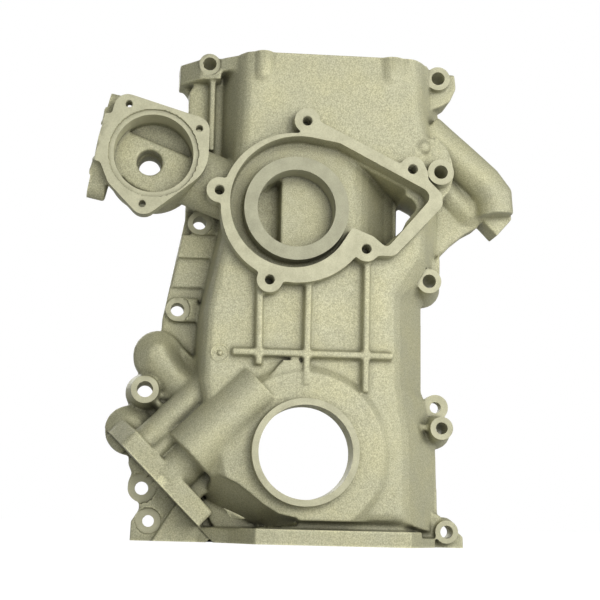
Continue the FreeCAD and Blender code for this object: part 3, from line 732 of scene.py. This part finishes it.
    def blank(self) -> Mesh:
        """Copy the solid's mesh, merge and carve it, and leave stock on every machined face.

        Returns:
            The blank's mesh in metres.
        """
        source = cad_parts[self.node]
        copy = source.data.copy()
        shape = bmesh.new()
        shape.from_mesh(copy)
        bmesh.ops.transform(shape, matrix=source.matrix_world, verts=shape.verts)
        bmesh.ops.remove_doubles(shape, verts=shape.verts, dist=MERGE)
        shape.to_mesh(copy)
        shape.free()
        copy = self.carve(copy)
        points = read_points(copy)
        grown = points.copy()
        for flat in self.flats:
            lies = flat.covers(points) & (np.abs(flat.height(points)) < self.near.on_face)
            grown[lies] += np.array(flat.outward) * self.stock
        for bore in self.bores:
            lies = np.abs(points[:, 1] - bore.face) < self.near.on_face
            lies &= bore.radii(points) < bore.rim + self.near.blank_rim
            lies &= np.abs(grown[:, 1] - points[:, 1]) < self.near.unmoved
            grown[lies, 1] += self.stock
        write_points(copy, grown)
        return copy

    def carve(self, solid: Mesh) -> Mesh:
        """Add what the solid lacks in front, drill the through holes, and cut the slanted forms.

        Args:
            solid: The solid's closed mesh.

        Returns:
            The carved mesh.
        """
        extra = bmesh.new()
        extra.from_mesh(self.tray.body(-self.tray_wall, self.tray_top))
        extra.from_mesh(self.web.body(0.0, self.web_back))
        extra.from_mesh(self.flank.wall())
        for knob in self.knobs:
            knob.add_to(extra)
        added = bpy.data.meshes.new("added")
        extra.to_mesh(added)
        extra.free()
        joined = combine(solid, added, "UNION")
        holes = bmesh.new()
        for bore in self.bores:
            if bore.through:
                low, high = -self.drill_over, bore.face + self.drill_over
                turn(holes, ((0, low), (bore.radius, low), (bore.radius, high), (0, high)),
                     bore.x, 0.0, bore.z, ROUND_STEPS)
        joined = combine(joined, close_up(holes, "holes"), "DIFFERENCE")
        for room in (self.ramp.body(0.0, self.cut_top), self.floor_slot.body(0.0, self.cut_top),
                     self.flank.room()):
            joined = combine(joined, room, "DIFFERENCE")
        return joined

    def soften(self, blank: Mesh) -> Mesh:
        """Remesh the blank finely, smooth it as a mould leaves its corners, and sink the valley.

        Args:
            blank: The blank's mesh.

        Returns:
            The softened mesh.
        """
        holder = hold("blank", blank)
        remesh = holder.modifiers.new("grid", "REMESH")
        remesh.mode = "VOXEL"
        remesh.voxel_size = self.voxel * MM
        remesh.adaptivity = 0.0
        smooth = holder.modifiers.new("mould", "SMOOTH")
        smooth.factor = self.rounding
        smooth.iterations = self.rounds
        mesh = settle(holder)
        holder = hold("softer", mesh)
        points = read_points(mesh)
        weights = np.zeros(len(points))
        for spots in SOFT_SPOTS.values():
            for spot in spots:
                weights = np.maximum(weights, SoftSpot(*spot).weight(points))
        group = holder.vertex_groups.new(name="soft")
        for level in range(1, self.soft_levels + 1):
            chosen = np.flatnonzero(np.round(weights * self.soft_levels) == level)
            group.add(chosen.tolist(), level / self.soft_levels, "REPLACE")
        more = holder.modifiers.new("round", "SMOOTH")
        more.factor = self.rounding
        more.iterations = self.more_rounds
        more.vertex_group = group.name
        mesh = settle(holder)
        points = read_points(mesh)
        self.valley.sink(points)
        write_points(mesh, points)
        return mesh

    def machine(self, points: np.ndarray) -> np.ndarray:
        """Cut the stock off the faces and bring the bores to size.

        Args:
            points: Points of the skin, in millimetres as (x, depth, z).

        Returns:
            The points, moved.
        """
        cut = points.copy()
        thick = self.stock + self.near.past_stock
        for flat in self.flats:
            height = flat.height(cut)
            over = flat.covers(cut) & (height > 0) & (height < thick)
            cut[over] -= height[over, None] * np.array(flat.outward)
        for bore in self.bores:
            over = bore.radii(cut) < bore.rim + self.near.cut_rim
            over &= (cut[:, 1] > bore.face) & (cut[:, 1] < bore.face + thick)
            cut[over, 1] = bore.face
        for bore in self.bores:
            radii = bore.radii(cut)
            wall = np.abs(radii - bore.radius) < min(self.near.wall_most, self.near.wall_share * bore.radius)
            wall &= cut[:, 1] > bore.floor - self.near.below_floor
            wall &= cut[:, 1] < bore.face + self.near.above_face
            scale = np.where(wall, bore.radius / np.maximum(radii, self.near.least_radius), 1.0)
            cut[:, 0] = bore.x + (cut[:, 0] - bore.x) * scale
            cut[:, 2] = bore.z + (cut[:, 2] - bore.z) * scale
        return cut

    def thin(self, mesh: Mesh) -> Mesh:
        """Take out triangles where the skin is flat.

        Args:
            mesh: The full skin.

        Returns:
            The lighter skin.
        """
        mesh.calc_loop_triangles()
        full = len(mesh.loop_triangles)
        LOG.info("skin before thinning: %d triangles", full)
        holder = hold("skin", mesh)
        thinning = holder.modifiers.new("thin", "DECIMATE")
        thinning.ratio = min(1.0, self.triangles / max(1, full))
        thinning.use_collapse_triangulate = True
        return settle(holder)

    def tidy(self, mesh: Mesh) -> None:
        """Merge what the cuts brought together and keep machined edges sharp.

        Args:
            mesh: The skin's mesh.
        """
        shape = bmesh.new()
        shape.from_mesh(mesh)
        bmesh.ops.dissolve_degenerate(shape, edges=shape.edges, dist=SPLINTER)
        bmesh.ops.triangulate(shape, faces=shape.faces)
        for face in shape.faces:
            face.smooth = True
        sharp = math.radians(self.sharp_angle)
        for edge in shape.edges:
            edge.smooth = not (edge.is_manifold and edge.calc_face_angle(0.0) > sharp)
        shape.to_mesh(mesh)
        shape.free()
        mesh.update()

    def dress(self, mesh: Mesh) -> None:
        """Give the machined faces their own finish.

        Args:
            mesh: The skin's mesh.
        """
        centres = read_rows(mesh.polygons, "center") / MM
        normals = read_rows(mesh.polygons, "normal")
        centres[:, 1] *= -1
        normals[:, 1] *= -1
        finish = np.full(len(centres), Surface.CAST.value, np.int32)
        for flat in self.flats:
            lies = (np.abs(flat.height(centres)) < self.near.dress_flat) & flat.covers(centres)
            lies &= normals @ np.array(flat.outward) > self.near.facing
            finish[lies] = Surface.MACHINED.value
        for bore in self.bores:
            radii = bore.radii(centres)
            lies = np.abs(centres[:, 1] - bore.face) < self.near.dress_face
            lies &= (normals[:, 1] > self.near.facing) & (radii < bore.rim + self.near.dress_rim)
            wall = (centres[:, 1] > bore.floor) & (centres[:, 1] < bore.face)
            wall &= np.abs(radii - bore.radius) < self.near.dress_wall
            ring = (bore.x, bore.z) == self.pump
            finish[lies | wall] = Surface.TURNED.value if ring else Surface.MACHINED.value
        mesh.polygons.foreach_set("material_index", finish)


@dataclass
class ScrewThreads:
    """Threads of one size of tapped hole, made by one node tree for all its holes."""

    name: str
    holes: list[Bore]
    radius: float
    pitch: float
    length: float
    inset: float = 1.0
    ridge_share: float = 0.42
    ridge_sides: int = 4
    turn_steps: int = 20

    def build(self, material: Material) -> Object:
        """Make the threads as one plain mesh.

        Args:
            material: Finish of the threads.

        Returns:
            The finished piece.
        """
        mesh = bpy.data.meshes.new(self.name)
        mesh.from_pydata([place(hole.x, hole.face - self.inset, hole.z) for hole in self.holes], [], [])
        holder = hold(self.name, mesh)
        tree = self.tree(material)
        modifier = holder.modifiers.new("threads", "NODES")
        modifier.node_group = tree
        sizes = {"Radius": self.radius * MM, "Turns": self.length / self.pitch, "Length": self.length * MM,
                 "Ridge": self.pitch * self.ridge_share * MM}
        for item in tree.interface.items_tree:
            if item.name in sizes and item.in_out == "INPUT":
                modifier[item.identifier] = sizes[item.name]
        piece = add_piece(self.name, settle(holder), [material])
        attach(piece, "root")
        return piece

    def tree(self, material: Material) -> NodeTree:
        """Build the node tree: a helix with a ridge profile in every hole.

        Args:
            material: Finish of the threads.

        Returns:
            The node tree.
        """
        tree = bpy.data.node_groups.new(self.name, "GeometryNodeTree")
        tree.interface.new_socket("Geometry", in_out="INPUT", socket_type="NodeSocketGeometry")
        for name in ("Radius", "Turns", "Length", "Ridge"):
            tree.interface.new_socket(name, in_out="INPUT", socket_type="NodeSocketFloat")
        tree.interface.new_socket("Geometry", in_out="OUTPUT", socket_type="NodeSocketGeometry")
        add, link = tree.nodes.new, tree.links.new
        source = add("NodeGroupInput")
        helix = add("GeometryNodeCurveSpiral")
        helix.inputs["Resolution"].default_value = self.turn_steps
        for socket in ("Start Radius", "End Radius"):
            link(source.outputs["Radius"], helix.inputs[socket])
        link(source.outputs["Turns"], helix.inputs["Rotations"])
        link(source.outputs["Length"], helix.inputs["Height"])
        profile = add("GeometryNodeCurvePrimitiveCircle")
        profile.inputs["Resolution"].default_value = self.ridge_sides
        link(source.outputs["Ridge"], profile.inputs["Radius"])
        ridge = add("GeometryNodeCurveToMesh")
        link(helix.outputs["Curve"], ridge.inputs["Curve"])
        link(profile.outputs["Curve"], ridge.inputs["Profile Curve"])
        put = add("GeometryNodeInstanceOnPoints")
        put.inputs["Rotation"].default_value = (-math.pi / 2, 0, 0)
        link(source.outputs["Geometry"], put.inputs["Points"])
        link(ridge.outputs["Mesh"], put.inputs["Instance"])
        real = add("GeometryNodeRealizeInstances")
        link(put.outputs["Instances"], real.inputs["Geometry"])
        dress = add("GeometryNodeSetMaterial")
        dress.inputs["Material"].default_value = material
        link(real.outputs["Geometry"], dress.inputs["Geometry"])
        sink = add("NodeGroupOutput")
        link(dress.outputs["Geometry"], sink.inputs["Geometry"])
        return tree


@dataclass
class CastingMark:
    """Raised ring with a pip on the panel, left by the mould.

    The pip's profile is given as shares of its radius and of its rise, and the two feet as
    shares of the bead and of the pip.
    """

    centre: Pair = (-55.1, 63.1)
    panel: float = 50.0
    sunk: float = -0.4
    ring: float = 5.6
    ring_rise: float = 0.6
    ring_shoulder: float = 0.25
    bead: float = 0.55
    bead_foot: float = 1.6
    ring_steps: int = 40
    pip: float = 1.7
    pip_rise: float = 2.6
    pip_foot: float = 1.25
    pip_profile: tuple[Pair, ...] = ((1.0, 0.55), (0.6, 0.9), (0.0, 1.0))
    pip_steps: int = 24

    def build(self, material: Material) -> Object:
        """Make the ring and the pip.

        Args:
            material: Finish of the mark.

        Returns:
            The finished piece.
        """
        shape = bmesh.new()
        x, z = self.centre
        foot = self.bead_foot * self.bead
        turn(shape, ((self.ring + foot, self.sunk), (self.ring + self.bead, self.ring_shoulder),
                     (self.ring, self.ring_rise), (self.ring - self.bead, self.ring_shoulder),
                     (self.ring - foot, self.sunk)), x, self.panel, z, self.ring_steps)
        pip = [(self.pip * wide, self.pip_rise * high) for wide, high in self.pip_profile]
        turn(shape, ((self.pip * self.pip_foot, self.sunk), *pip), x, self.panel, z, self.pip_steps)
        mesh = close_up(shape, "casting_mark")
        mesh.shade_smooth()
        piece = add_piece("casting_mark", mesh, [material])
        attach(piece, "root")
        return piece


@dataclass
class Studio:
    """Camera, lights, world and floor.

    The camera's principal and vanishing points are in the photo's pixels, and a fill is given
    as the direction it comes from, its strength and its softness in degrees.
    """

    lens: float = 78.0
    sensor: float = 36.0
    shift: float = 0.1
    nearest: float = 0.01
    focal_pixels: float = 1299.92
    principal: Pair = (240.0, 360.0)
    vanishing: Pair = (145.0, 520.0)
    roll: float = -1.4
    eye: Triple = (-99.63, -880.0, -44.92)
    key_from: Triple = (0.27, 0.94, 0.16)
    key_aim: Triple = (-5.0, 50.0, 80.0)
    key_distance: float = 0.85
    key_width: float = 0.6
    key_power: float = 4.7
    key_colour: Triple = (1.0, 0.99, 0.95)
    fills: dict[str, tuple[Triple, float, float]] = field(default_factory=lambda: {
        "right": ((0.88, 0.46, 0.08), 1.65, 40.0),
        "left": ((-0.42, 0.90, -0.05), 0.85, 60.0),
        "back": ((-0.3, -0.8, 0.5), 1.6, 40.0),
    })
    room_colour: Triple = (0.95, 0.98, 1.0)
    room_light: float = 0.16
    floor_height: float = -58.5
    floor_half: float = 6.0

    def build(self) -> None:
        """Set up everything round the part."""
        self.camera()
        self.lights()
        self.world()
        self.floor()

    def camera(self) -> None:
        """Place the camera so that the photo's depth lines meet at the same point."""
        forward = Vector((self.vanishing[0] - self.principal[0], self.principal[1] - self.vanishing[1],
                          -self.focal_pixels)).normalized()
        tilt = math.radians(self.roll)
        across = Vector((math.cos(tilt), math.sin(tilt), 0.0))
        across = (across - forward * across.dot(forward)).normalized()
        upward = across.cross(forward)
        data = bpy.data.cameras.new("camera")
        data.sensor_width = self.sensor
        data.lens = self.lens
        data.shift_x = self.shift
        data.shift_y = self.shift
        data.clip_start = self.nearest
        camera = hold("camera", data)
        turned = Matrix((across, forward, upward)).to_4x4()
        camera.matrix_world = Matrix.Translation(Vector(self.eye) * MM) @ turned
        bpy.context.scene.camera = camera

    def lights(self) -> None:
        """Hang a broad soft panel in front of the part, and weak soft lamps at its sides and back."""
        data = bpy.data.lights.new("key", "AREA")
        data.shape = "DISK"
        data.size = self.key_width
        data.energy = self.key_power
        data.color = self.key_colour
        lamp = hold("key", data)
        side = place(*self.key_from).normalized()
        lamp.location = place(*self.key_aim) + side * self.key_distance
        lamp.rotation_euler = (-side).to_track_quat("-Z", "Y").to_euler()
        lamp.visible_camera = False
        for name, (side, strength, softness) in self.fills.items():
            data = bpy.data.lights.new(name, "SUN")
            data.energy = strength
            data.angle = math.radians(softness)
            lamp = hold(name, data)
            lamp.rotation_euler = (-place(*side)).to_track_quat("-Z", "Y").to_euler()

    def world(self) -> None:
        """Give the room an even dim light and a plain white backdrop."""
        world = bpy.data.worlds.new("room")
        world.use_nodes = True
        nodes, link = world.node_tree.nodes, world.node_tree.links.new
        room = nodes["Background"]
        room.inputs["Color"].default_value = (*self.room_colour, 1.0)
        room.inputs["Strength"].default_value = self.room_light
        backdrop = nodes.new("ShaderNodeBackground")
        backdrop.inputs["Color"].default_value = (1.0, 1.0, 1.0, 1.0)
        choice = nodes.new("ShaderNodeMixShader")
        seen = nodes.new("ShaderNodeLightPath")
        link(seen.outputs["Is Camera Ray"], choice.inputs["Fac"])
        link(room.outputs["Background"], choice.inputs[SHADER_FIRST])
        link(backdrop.outputs["Background"], choice.inputs[SHADER_SECOND])
        link(choice.outputs["Shader"], nodes["World Output"].inputs["Surface"])
        bpy.context.scene.world = world
        bpy.context.scene.view_settings.view_transform = "Standard"

    def floor(self) -> None:
        """Lay the floor that the part stands on."""
        half, height = self.floor_half, self.floor_height * MM
        mesh = bpy.data.meshes.new("floor")
        mesh.from_pydata([(-half, -half, height), (half, -half, height), (half, half, height),
                          (-half, half, height)], [], [(0, 1, 2, 3)])
        mesh.materials.append(FloorFinish().material())
        floor = hold("floor", mesh)


def read_rows(elements: bpy_prop_collection, name: str) -> np.ndarray:
    """Read one vector of each element.

    Args:
        elements: A mesh's points or faces.
        name: Name of the vector.

    Returns:
        One row an element.
    """
    flat = np.empty(len(elements) * 3)
    elements.foreach_get(name, flat)
    return flat.reshape(-1, 3)


def read_points(mesh: Mesh) -> np.ndarray:
    """Read a mesh's points.

    Args:
        mesh: The mesh, in metres.

    Returns:
        One row a point, as x, depth and z in millimetres.
    """
    points = read_rows(mesh.vertices, "co") / MM
    points[:, 1] *= -1
    return points


def write_points(mesh: Mesh, points: np.ndarray) -> None:
    """Write points back to a mesh.

    Args:
        mesh: The mesh, in metres.
        points: One row a point, as x, depth and z in millimetres.
    """
    metres = points * MM
    metres[:, 1] *= -1
    mesh.vertices.foreach_set("co", metres.ravel())
    mesh.update()


def hold(name: str, data: ID) -> Object:
    """Put a mesh, lamp or camera in the scene as an object.

    Args:
        name: Name of the object.
        data: What it shows.

    Returns:
        The object, at the origin.
    """
    holder = bpy.data.objects.new(name, data)
    bpy.context.scene.collection.objects.link(holder)
    return holder


def settle(holder: Object) -> Mesh:
    """Turn an object with modifiers into a plain mesh, and remove the object.

    Args:
        holder: The object.

    Returns:
        A new mesh.
    """
    graph = bpy.context.evaluated_depsgraph_get()
    mesh = bpy.data.meshes.new_from_object(holder.evaluated_get(graph), depsgraph=graph)
    bpy.data.objects.remove(holder)
    return mesh


def close_up(shape: bmesh.types.BMesh, name: str) -> Mesh:
    """Merge a form's doubles, turn its faces outward and make a mesh of it.

    Args:
        shape: The form, which is used up.
        name: Name of the mesh.

    Returns:
        The mesh in metres.
    """
    bmesh.ops.remove_doubles(shape, verts=shape.verts, dist=MERGE)
    bmesh.ops.recalc_face_normals(shape, faces=shape.faces)
    mesh = bpy.data.meshes.new(name)
    shape.to_mesh(mesh)
    shape.free()
    return mesh


def combine(first: Mesh, second: Mesh, operation: str) -> Mesh:
    """Join two closed meshes or cut one from the other.

    Args:
        first: The mesh that stays.
        second: The mesh that is joined or cut away.
        operation: UNION or DIFFERENCE.

    Returns:
        The new mesh.
    """
    holder = hold("work", first)
    tool = hold("tool", second)
    modifier = holder.modifiers.new("combine", "BOOLEAN")
    modifier.operation = operation
    modifier.solver = "EXACT"
    modifier.use_self = operation == "UNION"
    modifier.object = tool
    mesh = settle(holder)
    bpy.data.objects.remove(tool)
    LOG.info("%s: %d faces", operation.lower(), len(mesh.polygons))
    return mesh


def add_piece(name: str, mesh: Mesh, materials: list[Material]) -> Object:
    """Put a finished mesh in the scene.

    Args:
        name: Name of the piece.
        mesh: Its mesh, in place.
        materials: Its finishes.

    Returns:
        The piece.
    """
    mesh.name = name
    mesh.materials.clear()
    for material in materials:
        mesh.materials.append(material)
    return hold(name, mesh)


def turn(shape: bmesh.types.BMesh, profile: tuple[Pair, ...], x: float, depth: float, z: float,
         steps: int) -> None:
    """Turn a profile about an axis along the depth.

    Args:
        shape: Mesh that gets the faces.
        profile: Radius and rise over the depth, in millimetres.
        x: Where the axis lies.
        depth: Depth that the rises are measured from.
        z: Where the axis lies.
        steps: How many steps a full turn has.
    """
    angles = [2 * math.pi * step / steps for step in range(steps)]
    rings = [[shape.verts.new(place(x + radius * math.cos(angle), depth + rise, z + radius * math.sin(angle)))
              for angle in angles] for radius, rise in profile]
    for inner, outer in zip(rings, rings[1:]):
        for step in range(steps):
            after = (step + 1) % steps
            shape.faces.new((inner[step], inner[after], outer[after], outer[step]))


def main() -> None:
    """Build the part and the studio, and report each piece."""
    logging.basicConfig(level=logging.INFO, format="%(message)s")
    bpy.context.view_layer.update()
    cast = CastFinish().material()
    machined = MachinedFinish().material()
    turned = MachinedFinish("turned_ring", (0.385, 0.378, 0.262), (0.35, 0.343, 0.24)).material()
    cover = CastCover()
    pieces = [
        cover.build([cast, machined, turned]),
        ScrewThreads("pump_screw_threads", cover.pump_holes, 3.5, 1.25, 12.0).build(machined),
        ScrewThreads("thermostat_screw_threads", cover.cap_holes, 2.6, 1.0, 9.0).build(machined),
        CastingMark().build(cast),
    ]
    for piece in pieces:
        LOG.info("%s: %d triangles", piece.name, sum(len(face.vertices) - 2 for face in piece.data.polygons))
    Studio().build()


if __name__ == "__main__":
    main()
